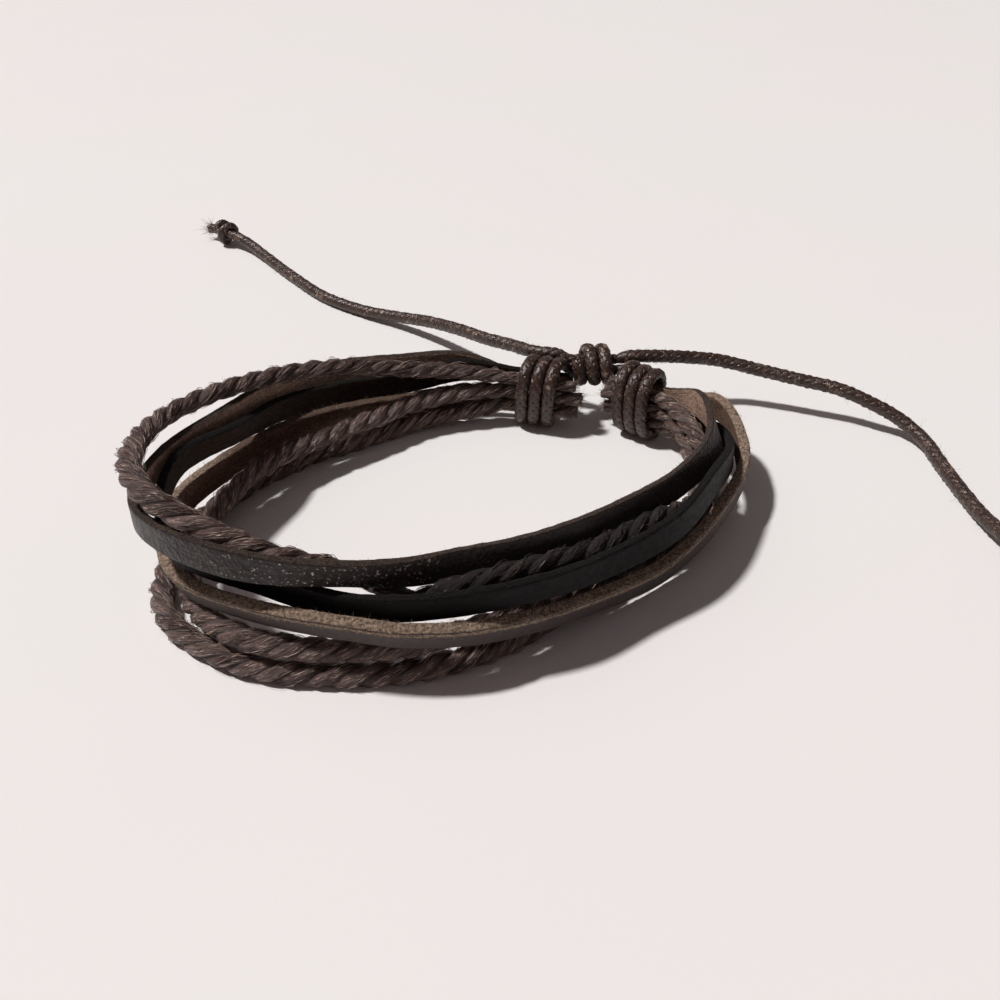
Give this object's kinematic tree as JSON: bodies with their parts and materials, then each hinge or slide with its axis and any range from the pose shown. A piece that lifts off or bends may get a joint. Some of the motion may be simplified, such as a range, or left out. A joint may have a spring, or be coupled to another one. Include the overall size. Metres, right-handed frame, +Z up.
{
  "type": "layered leather bracelet",
  "caption": "Bracelet of flat leather straps and twisted cords lying side by side, bound at the back by cord wraps and closed by a sliding knot with loose knotted tails.",
  "frame": {"origin": "on the resting surface under the middle of the bracelet, measured without the loose tails", "axes": "+Z up, along the axis of the wrist opening; +X the long way across the loop; +Y towards the wraps and the sliding knot"},
  "size_m": [0.1158, 0.1174, 0.0181],
  "materials": {
    "grained_leather": "pebbled charcoal leather, semi-matt, raw taupe flesh side",
    "smooth_leather": "smooth near-black leather, soft sheen",
    "suede_edged_leather": "dark grey leather with sandy raw suede edge",
    "twisted_cord": "twisted plies, dark brown with pale fibre glints",
    "waxed_cord": "dark brown waxed cord with small highlights"
  },
  "bodies": {
    "root": {"strap_top": "grained_leather", "strap_middle": "smooth_leather", "strap_bottom": "suede_edged_leather", "twisted_cord_top": "twisted_cord", "twisted_cord_middle": "twisted_cord", "twisted_cord_bottom": "twisted_cord", "left_wrap": "waxed_cord", "right_wrap": "waxed_cord", "sliding_knot": "waxed_cord", "tail_left": "waxed_cord", "tail_right": "waxed_cord", "end_knot_left": "waxed_cord", "end_knot_right": "waxed_cord"}
  },
  "joints": []
}
